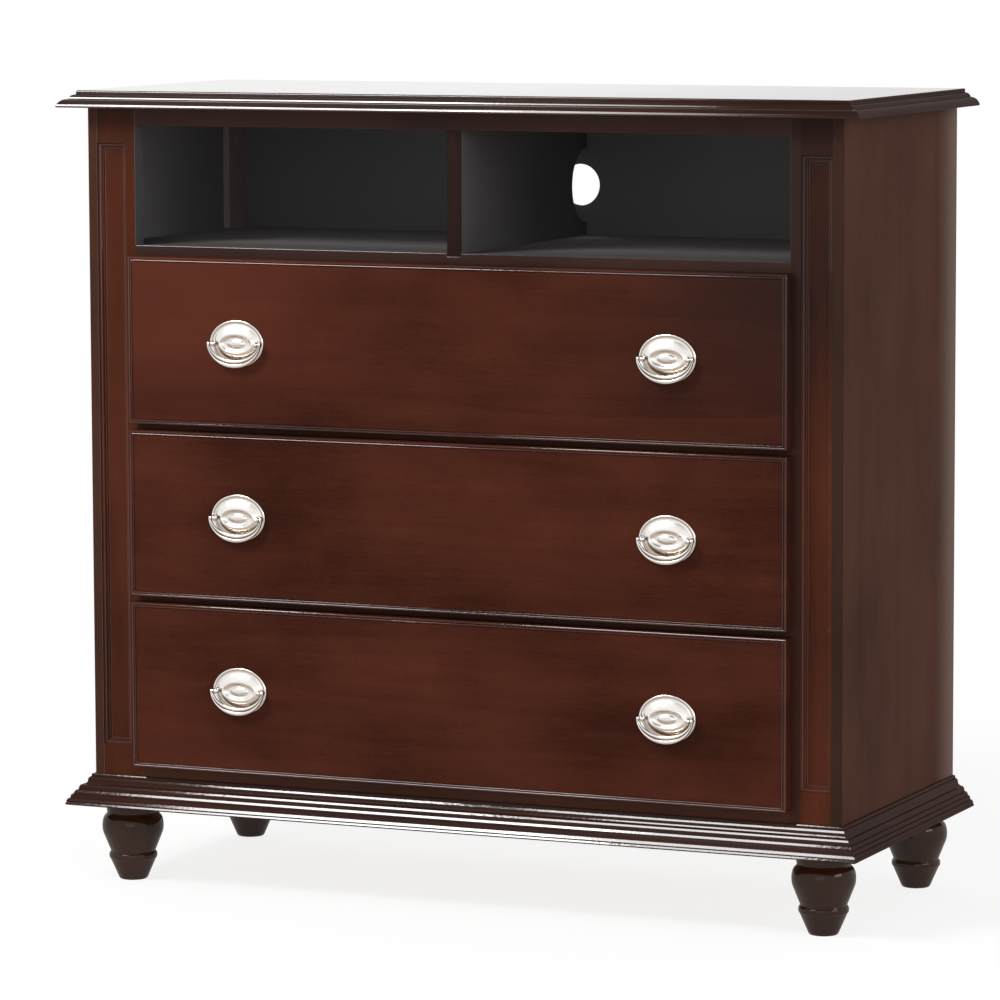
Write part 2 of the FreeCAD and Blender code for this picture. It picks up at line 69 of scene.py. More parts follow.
def place_camera():
    """Camera at the photographed viewing angle."""
    level = math.cos(CAMERA_PITCH)
    forward = Vector((math.sin(CAMERA_YAW) * level, math.cos(CAMERA_YAW) * level, math.sin(CAMERA_PITCH)))
    right = Vector((math.cos(CAMERA_YAW), -math.sin(CAMERA_YAW), 0))
    up = right.cross(forward)
    rolled_right = right * math.cos(CAMERA_ROLL) + up * math.sin(CAMERA_ROLL)
    rolled_up = up * math.cos(CAMERA_ROLL) - right * math.sin(CAMERA_ROLL)
    data = bpy.data.cameras.new("camera")
    data.sensor_width = SENSOR_MM
    data.lens = LENS_MM
    data.clip_start = NEAREST
    data.clip_end = FURTHEST
    camera = bpy.data.objects.new("camera", data)
    turn = Matrix((rolled_right, rolled_up, -forward)).transposed().to_4x4()
    camera.matrix_world = Matrix.Translation(CAMERA_PLACE) @ turn
    bpy.context.scene.collection.objects.link(camera)
    bpy.context.scene.camera = camera


class Tree:
    """Node tree of a material or the world, built from calls."""

    def __init__(self, owner):
        owner.use_nodes = True
        self.tree = owner.node_tree
        self.tree.nodes.clear()

    def put(self, socket, value):
        """Set an input to a value, or link it to a socket."""
        if isinstance(value, bpy.types.NodeSocket):
            self.tree.links.new(value, socket)
        else:
            socket.default_value = value

    def add(self, kind, inputs=None, **settings):
        """A node with its inputs and settings."""
        made = self.tree.nodes.new("ShaderNode" + kind)
        for key, value in settings.items():
            setattr(made, key, value)
        for key, value in (inputs or {}).items():
            self.put(made.inputs[key], value)
        return made

    def math(self, operation, a, b=0.0):
        """Result of one operation on two values."""
        return self.add("Math", {0: a, 1: b}, operation=operation).outputs[0]

    def span(self, value, low, high, to_low=0.0, to_high=1.0, smooth=False):
        """Map a value from one range to another, held at its ends."""
        made = self.add("MapRange", {"Value": value, "From Min": low, "From Max": high,
                                     "To Min": to_low, "To Max": to_high})
        if smooth:
            made.interpolation_type = "SMOOTHSTEP"
        return made.outputs[0]

    def mix(self, share, a, b):
        """Colour that goes from a to b with a share."""
        made = self.add("Mix", data_type="RGBA", blend_type="MIX")
        for index, value in ((0, share), (6, a), (7, b)):
            self.put(made.inputs[index], value)
        return made.outputs[2]

    def place(self):
        """Coordinates on the object."""
        return self.add("TexCoord").outputs["Object"]

    def noise(self, place, scale, detail, roughness, distortion=0.0):
        """Noise at a place."""
        return self.add("TexNoise", {"Vector": place, "Scale": scale, "Detail": detail,
                                     "Roughness": roughness, "Distortion": distortion}).outputs[0]

    def grain(self, axis, along, across, detail, roughness, distortion=0.0):
        """Noise drawn out along one axis, from its scales along and across it."""
        scale = [across] * 3
        scale["XYZ".index(axis)] = along
        drawn_out = self.add("Mapping", {"Vector": self.place(), "Scale": scale}).outputs[0]
        return self.noise(drawn_out, 1.0, detail, roughness, distortion)

    def surface(self, shader):
        """Make a shader the surface of the material."""
        self.tree.links.new(shader, self.add("OutputMaterial").inputs["Surface"])


def colour(r, g, b):
    """Linear colour with alpha."""
    return (r, g, b, 1.0)


def darker(tone, share):
    """A share of a colour."""
    return tuple(c * share for c in tone[:3]) + (1.0,)


# Noises of stained wood: scale along the grain and across it, detail, roughness, distortion
CLOUD = (3.4, 6.5, 3.0, 0.55)
GROWTH = (1.7, 34.0, 5.0, 0.6, 1.0)
FIBRE = (22.0, 480.0, 4.0, 0.6)
PORE = (70.0, 1900.0, 2.0, 0.5)

# Noises without a direction: scale, detail, roughness
SPECKLE = (620.0, 2.0, 0.6)
RIPPLE = (190.0, 2.0, 0.5)

# What each noise adds to the wood's tone, and the half width of tone from dark to light
CLOUD_SHARE = 0.62
GROWTH_SHARE = 0.24
FIBRE_SHARE = 0.17
SPECKLE_SHARE = 0.24
TONE_HALF_WIDTH = 0.17
PORE_RANGE = (0.63, 0.72)
PORE_STAIN = 0.45
PORE_DARKNESS = 0.35

# Heights of the grain and of the lacquer's ripple
FIBRE_HEIGHT = 0.35
PORE_DEPTH = 0.6
RIPPLE_HEIGHT = 0.5
GRAIN_REACH = 0.0002
COAT_REACH = 0.0004
COAT_BUMP_SHARE = 0.4

# Forward tilt of a face: where it stops being square to the front, and where it starts to look forward
SQUARE_TILT = (0.02, 0.06)
FORWARD_TILT = (0.93, 0.99)

# Range in which most of a noise lies, and the lacquer's refraction
NOISE_RANGE = (0.3, 0.7)
COAT_IOR = 1.5


def wood_parts(t, axis, tones, figure):
    """Colour, bump height and fibre of stained wood whose grain runs along an axis."""
    dark, light = tones
    cloud = t.grain(axis, *CLOUD)
    growth = t.grain(axis, *GROWTH)
    fibre = t.grain(axis, *FIBRE)
    pore = t.grain(axis, *PORE)
    speckle = t.noise(t.place(), *SPECKLE)
    tone = t.math("ADD", t.math("MULTIPLY", cloud, CLOUD_SHARE * figure),
                  t.math("MULTIPLY", growth, GROWTH_SHARE * figure))
    tone = t.math("ADD", tone, t.math("MULTIPLY", fibre, FIBRE_SHARE))
    tone = t.math("ADD", tone, t.math("MULTIPLY", speckle, SPECKLE_SHARE))
    middle = 0.5 * ((CLOUD_SHARE + GROWTH_SHARE) * figure + FIBRE_SHARE + SPECKLE_SHARE)
    base = t.mix(t.span(tone, middle - TONE_HALF_WIDTH, middle + TONE_HALF_WIDTH), dark, light)
    pores = t.span(pore, *PORE_RANGE)
    base = t.mix(t.math("MULTIPLY", pores, PORE_STAIN), base, darker(dark, PORE_DARKNESS))
    height = t.math("SUBTRACT", t.math("MULTIPLY", fibre, FIBRE_HEIGHT),
                    t.math("MULTIPLY", pores, PORE_DEPTH))
    return base, height, fibre


def wood(name, axis, tones, masks, rough, coat, coat_rough, bump, specular=0.0, figure=1.0,
         edge_coat=None, flat_coat=None, fades=()):
    """Stained and lacquered wood.

    masks tint the wood. The lacquer lies thicker, as edge_coat, on mouldings and arrises than as coat on
    faces that look forward, or as flat_coat on faces square to those. fades scale the lacquer. Each is an
    axis, or tilt for the upward tilt of the face, where it starts and ends, and the share at either end.
    """
    material = bpy.data.materials.new(name)
    t = Tree(material)
    coords = t.add("TexCoord").outputs
    base, height, fibre = wood_parts(t, axis, tones, figure)
    roughness = t.span(fibre, *NOISE_RANGE, *rough)
    for mask in masks:
        base = mask(t, base)
    ripple = t.noise(coords["Object"], *RIPPLE)
    height = t.math("ADD", height, t.math("MULTIPLY", ripple, RIPPLE_HEIGHT))
    normal = t.add("Bump", {"Height": height, "Strength": bump, "Distance": GRAIN_REACH}).outputs[0]
    coat_normal = t.add("Bump", {"Height": ripple, "Strength": bump * COAT_BUMP_SHARE,
                                 "Distance": COAT_REACH}).outputs[0]
    if edge_coat is not None:
        facing = t.math("ABSOLUTE", t.add("SeparateXYZ", {0: coords["Normal"]}).outputs["Y"])
        flat_coat = coat if flat_coat is None else flat_coat
        edge = t.span(facing, *SQUARE_TILT, flat_coat, edge_coat)
        coat = t.math("ADD", edge, t.span(facing, *FORWARD_TILT, 0.0, coat - edge_coat))
    for axis_name, start, end, low, high in fades:
        source = ("Normal", "Z") if axis_name == "tilt" else ("Object", axis_name)
        where = t.add("SeparateXYZ", {0: coords[source[0]]}).outputs[source[1]]
        coat = t.math("MULTIPLY", coat, t.span(where, start, end, low, high, smooth=True))
    shader = t.add("BsdfPrincipled", {
        "Base Color": base, "Roughness": roughness, "Specular IOR Level": specular,
        "Coat Weight": coat, "Coat Roughness": coat_rough, "Coat IOR": COAT_IOR,
        "Normal": normal, "Coat Normal": coat_normal})
    t.surface(shader.outputs[0])
    return material


def tint_mask(tint, amount, ramps, smooth):
    """A mask that gives a tint where all ramps are full. Each is an axis, where it starts and is full."""
    def apply(t, base):
        split = t.add("SeparateXYZ", {0: t.place()}).outputs
        inside = amount
        for axis, start, full in ramps:
            inside = t.math("MULTIPLY", inside, t.span(split[axis], start, full, smooth=smooth))
        return t.mix(inside, base, tint)
    return apply


def toward(tint, amount, *ramps):
    """A mask that leads softly to a tint."""
    return tint_mask(tint, amount, ramps, smooth=True)


# Half the width over which a mask's border comes in
BORDER = 0.0004


def within(tint, **ranges):
    """A mask that gives a tint where coordinates lie between two values."""
    ramps = []
    for axis, (low, high) in ranges.items():
        ramps.append((axis.upper(), low - BORDER, low + BORDER))
        ramps.append((axis.upper(), high + BORDER, high - BORDER))
    return tint_mask(tint, 1.0, ramps, smooth=False)


# Tones of each wood, dark and light
FIELD = (colour(0.0185, 0.0048, 0.0026), colour(0.0640, 0.0164, 0.0088))
PILASTER = (colour(0.0330, 0.0094, 0.0046), colour(0.0792, 0.0209, 0.0102))
CASE = (colour(0.0318, 0.0139, 0.0089), colour(0.0623, 0.0257, 0.0166))
MOULD = (colour(0.0150, 0.0060, 0.0044), colour(0.0330, 0.0125, 0.0085))
# SHADED is the case wood painted darker as shade, for the top rail below the top's overhang and the cubby
# shelf; DIVIDER_SHADE is painted darker still as shade, for the divider in the opening
SHADED = (colour(0.0198, 0.0105, 0.0090), colour(0.0413, 0.0195, 0.0155))
DIVIDER_SHADE = (colour(0.0099, 0.0056, 0.0053), colour(0.0198, 0.0102, 0.0092))
FOOT = (colour(0.0130, 0.0052, 0.0022), colour(0.0380, 0.0140, 0.0060))
POST = (colour(0.2180, 0.1680, 0.1630), colour(0.3370, 0.2670, 0.2570))
RAW = (colour(0.42, 0.27, 0.155), colour(0.58, 0.41, 0.26))
PLY = (colour(0.50, 0.35, 0.21), colour(0.62, 0.47, 0.31))

# Tints of the masks
# Painted shade: near black, laid where less light falls, at the upper right of the front, below the top's
# overhang and on the right side's front edge
SHADE_BLACK = colour(0.0099, 0.0074, 0.0069)
CHARCOAL = colour(0.1290, 0.1250, 0.1310)
# Painted light: the lining's charcoal, made much lighter on the cubby's floor, where the cubby's shade
# falls
FLOOR_CHARCOAL_LIT = colour(0.3850, 0.3700, 0.3780)
# Painted light: the lining's charcoal, made lighter on the side panels' inner walls, which the lamps light
# less
WALL_CHARCOAL_LIT = colour(0.190, 0.182, 0.188)
# Painted shade: the lining's charcoal made darker toward the cubby's opening, where the lamps light it
# most, and on the strips' returns
CHARCOAL_SHADE = colour(0.0742, 0.0677, 0.0709)
# Partly the veneer's own warmer, lighter tone and partly painted light from the left, toward the left of
# the upper drawer front
WARM_STAIN_AND_LIGHT = colour(0.100, 0.026, 0.015)
# Painted shade: greyer and darker on the right strip, where the drawer fronts' thickness shades it
GREY_SHADE = colour(0.024, 0.014, 0.013)
# Painted sheen: the right side panel lighter and greyer toward its rear edge, as a reflection there
GREY_SHEEN = colour(0.140, 0.100, 0.086)

# Looks that several woods share
SATIN = {"rough": (0.34, 0.44), "bump": 0.3}
MOULD_SHEEN = {"rough": (0.26, 0.34), "bump": 0.25}
BACK_SHEEN = {"rough": (0.45, 0.55), "coat": 0.10, "coat_rough": 0.25, "bump": 0.3}
BARE = {"rough": (0.6, 0.75), "coat": 0.0, "coat_rough": 0.3, "specular": 0.25, "bump": 0.5}
SEALED = {"rough": (0.42, 0.55), "coat": 0.15, "coat_rough": 0.3, "specular": 0.3, "bump": 0.3}

# Woods by finish: material, axis of the grain, tones and looks
WOODS = {
    # The fades along X are painted sheen: less lacquer toward the right on the top and its front edge, and
    # toward the left on the base front, so that their highlights fade on that side
    "top": ("top_wood", "X", FIELD, {
        "rough": (0.22, 0.30), "coat": 1.0, "coat_rough": 0.05, "bump": 0.12,
        "fades": [("X", -0.1, 0.5, 1.0, 0.86)]}),
    "front": ("drawer_front_wood", "X", FIELD, {
        "rough": (0.34, 0.42), "coat": 0.06, "coat_rough": 0.07, "bump": 0.25, "edge_coat": 0.85}),
    "strip": ("strip_wood", "Z", PILASTER, SATIN | {
        "coat": 0.06, "coat_rough": 0.14, "edge_coat": 0.06, "flat_coat": 0.01}),
    "rail_high": ("rail_wood_high", "X", SHADED, SATIN | {"coat": 0.08, "coat_rough": 0.14}),
    "rail_low": ("rail_wood_low", "X", CASE, SATIN | {"coat": 0.03, "coat_rough": 0.14}),
    "pilaster": ("pilaster_wood", "Z", PILASTER, {
        "rough": (0.32, 0.42), "coat": 0.06, "coat_rough": 0.08, "bump": 0.25,
        "edge_coat": 0.6, "flat_coat": 0.06}),
    "top_edge_x": ("top_edge_wood_front", "X", MOULD, MOULD_SHEEN | {
        "coat": 1.0, "coat_rough": 0.06, "fades": [("X", 0.05, 0.45, 1.0, 0.25)]}),
    "mould_x": ("moulding_wood_front", "X", MOULD, MOULD_SHEEN | {
        "coat": 1.0, "coat_rough": 0.06,
        "fades": [("X", -0.56, -0.10, 0.45, 1.0), ("tilt", 0.40, 0.50, 0.25, 1.0)]}),
    "mould_y": ("moulding_wood_side", "Y", MOULD, MOULD_SHEEN | {"coat": 0.12, "coat_rough": 0.10}),
    "foot": ("foot_wood", "Z", FOOT, {
        "rough": (0.24, 0.34), "coat": 0.42, "coat_rough": 0.04, "bump": 0.2}),
    "raw_x": ("inner_wood_level", "X", RAW, BARE),
    "raw_y": ("inner_wood_deep", "Y", RAW, BARE),
    "box_x": ("box_wood_level", "X", RAW, SEALED),
    "box_y": ("box_wood_deep", "Y", RAW, SEALED),
    "ply": ("box_bottom_ply", "X", PLY, {
        "rough": (0.5, 0.6), "coat": 0.1, "coat_rough": 0.3, "specular": 0.3, "bump": 0.3, "figure": 0.8}),
    "post": ("corner_post_wood", "Z", POST, {
        "rough": (0.4, 0.5), "coat": 0.10, "coat_rough": 0.25, "bump": 0.3}),
    "shelf": ("shelf_wood", "X", SHADED, SATIN | {
        "coat": 0.08, "coat_rough": 0.10, "edge_coat": 0.7, "flat_coat": 0.02}),
    "divider": ("divider_wood", "Z", DIVIDER_SHADE, SATIN | {
        "coat": 0.05, "coat_rough": 0.16, "edge_coat": 0.05, "flat_coat": 0.015}),
    "side": ("side_panel_wood", "Z", CASE, SATIN | {"coat": 0.045, "coat_rough": 0.20}),
    "back_upper": ("back_board_upper", "X", CASE, BACK_SHEEN),
    "back_lower": ("back_board_lower", "X", CASE, BACK_SHEEN),
}

# Masks: where the charcoal starts behind the front edge, how deep a mask of one face reaches into the
# wood, how far short of the rear face the inner masks end, and a length that reaches past the chest
CHARCOAL_Y = FRONT_Y + 0.0022
STRIP_SKIN = 0.0005
WALL_SKIN = 0.0006
WALL_SKIN_FULL = 0.0002
REAR_SKIN = 0.001
BEYOND = 1.0

# Ramps of the masks: axis, where the ramp starts and where it is full
ON_LEFT = ("X", 0.1, 0.0)
ON_RIGHT = ("X", 0.0, 0.1)
TO_LEFT = ("X", 0.0, -0.40)
TO_RIGHT = ("X", 0.05, 0.48)
TO_RIGHT_STRIP = ("X", 0.2, 0.45)
INTO_LEFT_WALL = ("X", -SIDE_INNER_X - WALL_SKIN, -SIDE_INNER_X - WALL_SKIN_FULL)
TO_SHELF = ("Z", 0.52, 0.84)
TO_UPPER_DRAWER = ("Z", 0.60, 0.72)
TO_TOP = ("Z", 0.93, 1.02)
TO_REAR = ("Y", 0.15, 0.24)
TO_JOINT = ("Y", FRONT_Y + 0.0030, FRONT_Y + 0.0016)
TO_OPENING = ("Y", FRONT_Y + 0.34, FRONT_Y + 0.03)
TO_WALL_FRONT = ("Y", FRONT_Y + 0.12, FRONT_Y + 0.03)
BEHIND_EDGE = ("Y", CHARCOAL_Y - BORDER, CHARCOAL_Y + BORDER)


def stain_and_shade_masks():
    """Masks of the finishes that have some: the lining's charcoal, raw inner faces, a warm stain, and
    painted light and shade.
    """
    # Painted shade: the front darkens toward its upper right, where less light falls
    painted_shade_corner = toward(SHADE_BLACK, 0.68, TO_RIGHT, TO_SHELF)
    # Painted shadow of the top's overhang along the top of the front
    painted_shadow_below_top = toward(SHADE_BLACK, 0.45, TO_TOP)
    # The strips' return faces inside the cubby, in the lining's charcoal painted dark as shade
    shaded_return_faces = within(CHARCOAL_SHADE, x=(-OPENING_X - STRIP_SKIN, OPENING_X + STRIP_SKIN),
                          z=(SHELF_TOP_Z - STRIP_SKIN, SHELF_TOP_Z + BEYOND))
    # The side panels' inner walls, in the lining's charcoal painted lighter as painted light
    lit_inner_walls = within(WALL_CHARCOAL_LIT, x=(-SIDE_INNER_X - WALL_SKIN, SIDE_INNER_X + WALL_SKIN),
                         y=(CHARCOAL_Y, REAR_FACE_Y - REAR_SKIN))
    inner_face = (-BEYOND, REAR_FACE_Y - REAR_SKIN)
    return {
        # Upper drawer front lighter and warmer toward its left, partly its own tone and partly painted
        # light; painted shade at the upper right
        "front": [toward(WARM_STAIN_AND_LIGHT, 0.45, TO_LEFT, TO_UPPER_DRAWER), painted_shade_corner],
        # Painted shade at the upper right, below the top and on the right strip; the returns in the
        # painted-shade charcoal
        "strip": [painted_shade_corner, painted_shadow_below_top, shaded_return_faces, toward(GREY_SHADE, 0.6, TO_RIGHT_STRIP)],
        # Painted shade at the upper right and below the top
        "pilaster": [painted_shade_corner, painted_shadow_below_top],
        # The lining's charcoal, painted lighter on the floor, and painted darker as shade toward the
        # opening
        "shelf": [within(FLOOR_CHARCOAL_LIT, y=(CHARCOAL_Y, BEYOND)),
                  toward(CHARCOAL_SHADE, 1.0, TO_OPENING, BEHIND_EDGE)],
        # The lining's charcoal, painted darker as shade toward the opening
        "divider": [within(CHARCOAL, y=(CHARCOAL_Y, BEYOND)),
                    toward(CHARCOAL_SHADE, 0.9, TO_OPENING, BEHIND_EDGE)],
        # Painted sheen toward the right side's rear edge, painted shade on its front edge, the inner walls'
        # charcoal painted lighter, and painted shade at the left wall's front
        "side": [toward(GREY_SHEEN, 0.8, ON_RIGHT, TO_REAR), toward(SHADE_BLACK, 0.50, ON_RIGHT, TO_JOINT),
                 lit_inner_walls, toward(CHARCOAL_SHADE, 1.0, INTO_LEFT_WALL, ON_LEFT, TO_WALL_FRONT)],
        "back_upper": [within(CHARCOAL, y=inner_face)],
        "back_lower": [within(RAW[1], y=inner_face)],
    }


# Patina of plated metal in its hollows, which also paints shade into its creases and coves, and a painted
# reflection of the brown wood on faces that look down: each is full at the first and gone at the second
# openness or upward tilt
PATINA_AND_SHADE_REACH = 0.004
PATINA_AND_SHADE_SAMPLES = 8
PATINA_AND_SHADE_OPENNESS = (0.50, 0.97)
REFLECTION_UNDER_TILT = (-0.24, 0.02)
REFLECTION_UNDER_SHARE = 0.95
PATINA_AND_REFLECTION_UNEVEN = (0.80, 1.0)
PATINA_AND_SHADE_TINT = 0.55

# Plated metal: noises by scale, detail and roughness, the roughness either side of its middle value, and
# the bump of its brushing
BLOTCH = (240.0, 4.0, 0.6)
BRUSHED = (2600.0, 2.0, 0.5)
SMOOTHER = 0.05
ROUGHER = 0.06
BRUSH_BUMP = 0.15
BRUSH_REACH = 0.00005


def metal(name, base, rough, tarnish_and_reflection):
    """Plated metal, with a patina that also paints shade where it is sunk, and a painted reflection of the
    brown wood where it looks down.
    """
    material = bpy.data.materials.new(name)
    t = Tree(material)
    coords = t.add("TexCoord").outputs
    blotch = t.noise(coords["Object"], *BLOTCH)
    fine = t.noise(coords["Object"], *BRUSHED)
    # Patina in the hollows, which also paints shade into the creases and coves
    openness = t.add("AmbientOcclusion", {"Distance": PATINA_AND_SHADE_REACH}, samples=PATINA_AND_SHADE_SAMPLES).outputs["AO"]
    sunk = t.span(openness, *PATINA_AND_SHADE_OPENNESS, 1.0, 0.0)
    # Painted reflection: faces that look down take the tan of the wood around them
    upward = t.add("SeparateXYZ", {0: coords["Normal"]}).outputs["Z"]
    under = t.span(upward, *REFLECTION_UNDER_TILT, REFLECTION_UNDER_SHARE, 0.0)
    uneven = t.span(blotch, *NOISE_RANGE, *PATINA_AND_REFLECTION_UNEVEN)
    tint = t.mix(t.math("MULTIPLY", under, uneven), base, tarnish_and_reflection)
    tint = t.mix(t.math("MULTIPLY", sunk, uneven), tint, darker(tarnish_and_reflection, PATINA_AND_SHADE_TINT))
    roughness = t.span(blotch, *NOISE_RANGE, rough - SMOOTHER, rough + ROUGHER)
    normal = t.add("Bump", {"Height": fine, "Strength": BRUSH_BUMP, "Distance": BRUSH_REACH}).outputs[0]
    shader = t.add("BsdfPrincipled", {
        "Base Color": tint, "Metallic": 1.0, "Roughness": roughness, "Normal": normal})
    t.surface(shader.outputs[0])
    return material


# Metals by finish: material, colour, roughness, and the tint of the patina in hollows, which is also the
# painted shade there and the painted reflection on faces that look down
METALS = {
    "nickel": ("satin_nickel", colour(0.78, 0.755, 0.725), 0.20, colour(0.46, 0.36, 0.28)),
    "zinc": ("zinc_plate", colour(0.60, 0.61, 0.62), 0.34, colour(0.30, 0.29, 0.27)),
}


def make_materials():
    """All finishes, by name."""
    masks = stain_and_shade_masks()
    made = {}
    for finish, (name, axis, tones, looks) in WOODS.items():
        made[finish] = wood(name, axis, tones, masks.get(finish, ()), **looks)
    for finish, looks in METALS.items():
        made[finish] = metal(*looks)
    return made


# Finish of the nodes that stay as they are, and the width in mm that their arrises are eased by
NODE_FINISH = {
    "top_board": ("top", 0.0), "top_moulding_front": ("top_edge_x", 0.3),
    "top_moulding_left": ("mould_y", 0.3), "top_moulding_right": ("mould_y", 0.3),
    "left_side_panel": ("side", 0.15), "right_side_panel": ("side", 0.15),
    "left_pilaster": ("pilaster", 0.0), "right_pilaster": ("pilaster", 0.0),
    "left_pilaster_strip": ("strip", 0.15), "right_pilaster_strip": ("strip", 0.15),
    "top_rail": ("rail_high", 0.3), "drawer_rails": ("rail_low", 0.3), "bottom_rail": ("rail_low", 0.3),
    "rear_rails": ("raw_x", 0.5), "side_runners": ("raw_y", 0.5), "centre_runners": ("raw_y", 0.8),
    "cubby_shelf": ("shelf", 0.45), "cubby_divider": ("divider", 0.7),
    "upper_back_panel": ("back_upper", 0.3), "lower_back_panel": ("back_lower", 0.3),
    "corner_posts": ("post", 0.5), "bottom_board": ("raw_x", 0.3),
    "foot_blocks": ("raw_x", 0.8), "foot_bolts": ("zinc", 0.2),
}
for level in LEVELS:
    NODE_FINISH[level + "_drawer_front"] = ("front", 0.35)
    NODE_FINISH[level + "_drawer_sides"] = ("box_y", 0.3)
    NODE_FINISH[level + "_drawer_ends"] = ("box_x", 0.3)
    NODE_FINISH[level + "_drawer_bottom"] = ("ply", 0.0)
    NODE_FINISH[level + "_drawer_guides"] = ("raw_y", 0.5)

# Points closer than this are welded, and edges sharper than this are eased
WELD_REACH = 0.00001
EASED_FROM_DEG = 38
EASE_SEGMENTS = 2


def dress_nodes(materials):
    """Give the nodes that stay their finish, and ease their arrises."""
    for name, (finish, ease_mm) in NODE_FINISH.items():
        node = nodes[name]
        node.data.materials.clear()
        node.data.materials.append(materials[finish])
        if ease_mm:
            weld = node.modifiers.new("weld", "WELD")
            weld.merge_threshold = WELD_REACH
            ease = node.modifiers.new("ease", "BEVEL")
            ease.width = ease_mm * MM
            ease.segments = EASE_SEGMENTS
            ease.limit_method = "ANGLE"
            ease.angle_limit = math.radians(EASED_FROM_DEG)
            normals = node.modifiers.new("normals", "WEIGHTED_NORMAL")
            normals.keep_sharp = True


# Edges of castings and screws are sharp above this angle
CAST_SHARP_DEG = 32.0


def mesh_object(name, points, faces, sharp_deg):
    """Object with smooth faces, sharp where they meet at more than an angle."""
    mesh = bpy.data.meshes.new(name)
    mesh.from_pydata([tuple(p) for p in points], [], faces)
    mesh.validate()
    mesh.shade_smooth()
    mesh.set_sharp_from_angle(angle=math.radians(sharp_deg))
    made = bpy.data.objects.new(name, mesh)
    bpy.context.scene.collection.objects.link(made)
    return made


def ring_mesh(name, rings, closed_start=True, sharp_deg=CAST_SHARP_DEG):
    """Object whose surface runs from ring to ring."""
    count = len(rings[0])
    faces = []
    for i in range(len(rings) - 1):
        for j in range(count):
            k = (j + 1) % count
            faces.append((i * count + j, i * count + k, (i + 1) * count + k, (i + 1) * count + j))
    if closed_start:
        faces.append(tuple(reversed(range(count))))
    faces.append(tuple(range((len(rings) - 1) * count, len(rings) * count)))
    return mesh_object(name, [p for ring in rings for p in ring], faces, sharp_deg)


def join_meshes(name, parts):
    """One object from several, whose meshes are in the shared frame."""
    points = []
    faces = []
    for part in parts:
        start = len(points)
        points += [part.matrix_world @ v.co for v in part.data.vertices]
        faces += [tuple(start + i for i in f.vertices) for f in part.data.polygons]
        bpy.data.objects.remove(part)
    return mesh_object(name, points, faces, CAST_SHARP_DEG)


def finish_piece(piece, body, slot, material, *replaced):
    """Material, body and the nodes that a piece stands for. The slot argument is not used."""
    piece.data.materials.append(material)
    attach(piece, body)
    if replaced:
        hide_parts(*replaced)


def round_angles(count):
    """Angles of evenly spaced points on a circle."""
    return [2 * math.pi * i / count for i in range(count)]


def arc_points(a, b, c, count):
    """Points after a along the circle through three points of a plane."""
    ax, ay = a
    bx, by = b
    cx, cy = c
    a2, b2, c2 = ax * ax + ay * ay, bx * bx + by * by, cx * cx + cy * cy
    d = 2 * (ax * (by - cy) + bx * (cy - ay) + cx * (ay - by))
    ux = (a2 * (by - cy) + b2 * (cy - ay) + c2 * (ay - by)) / d
    uy = (a2 * (cx - bx) + b2 * (ax - cx) + c2 * (bx - ax)) / d
    radius = math.hypot(ax - ux, ay - uy)
    start = math.atan2(ay - uy, ax - ux)
    middle = math.atan2(by - uy, bx - ux)
    end = math.atan2(cy - uy, cx - ux)
    sweep = (end - start) % (2 * math.pi)
    if (middle - start) % (2 * math.pi) > sweep:
        sweep -= 2 * math.pi
    angles = [start + sweep * i / count for i in range(1, count + 1)]
    return [(ux + radius * math.cos(angle), uy + radius * math.sin(angle)) for angle in angles]


# Turned foot, from the sole out and up: shares of the bulb's radius and of the foot's height. A step with
# two points is an arc through the first to the second
FOOT_SHARES = [
    [(0.34, 0.0)], [(0.455, 0.012), (0.505, 0.050)], [(0.735, 0.255)], [(0.750, 0.266)],
    [(0.785, 0.306), (0.750, 0.346)], [(0.728, 0.363)], [(0.945, 0.575)],
    [(1.0, 0.690), (0.893, 0.822)], [(0.850, 0.845)], [(0.835, 0.862)], [(0.850, 0.885)], [(0.850, 1.0)],
]
FOOT_FACETS = 96
FOOT_ARC_STEPS = 10
FOOT_SHARP_DEG = 24.0


def foot_profile():
    """Points of the foot's profile, none below the sole."""
    points = []
    for step in FOOT_SHARES:
        points += arc_points(points[-1], *step, FOOT_ARC_STEPS) if len(step) == 2 else step
    return [(out, max(up, 0.0)) for out, up in points]


def make_feet(material):
    """Four turned feet."""
    profile = foot_profile()
    for place_name in ("front", "rear"):
        for side_name, _ in SIDES:
            node = place_name + "_" + side_name + "_foot"
            low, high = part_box(node)
            centre = (low + high) / 2
            radius = (high.x - low.x) / 2
            height = high.z - low.z
            rings = [[Vector((centre.x + radius * out * math.cos(angle),
                              centre.y + radius * out * math.sin(angle), low.z + up * height))
                      for angle in round_angles(FOOT_FACETS)] for out, up in profile]
            foot = ring_mesh(node + "_turned", rings, sharp_deg=FOOT_SHARP_DEG)
            finish_piece(foot, "chest", "foot_wood", material, node)


# Base moulding, from its lower inner edge outward and up: shares of its reach and of its height
BASE_SHARES = [
    (0.0, 0.0), (0.955, 0.0), (0.99, 0.02), (1.0, 0.045), (0.958, 0.095), (0.945, 0.105), (0.962, 0.14),
    (0.895, 0.215), (0.83, 0.225), (0.81, 0.29), (0.79, 0.345), (0.72, 0.355), (0.70, 0.41), (0.645, 0.475),
    (0.57, 0.485), (0.545, 0.53), (0.525, 0.595), (0.475, 0.65), (0.38, 0.66), (0.29, 0.70), (0.25, 0.74),
    (0.235, 0.835), (0.18, 0.895), (0.12, 0.905), (0.115, 0.97), (0.09, 1.0), (0.0, 1.0),
]
BASE_SHARP_DEG = 8.0


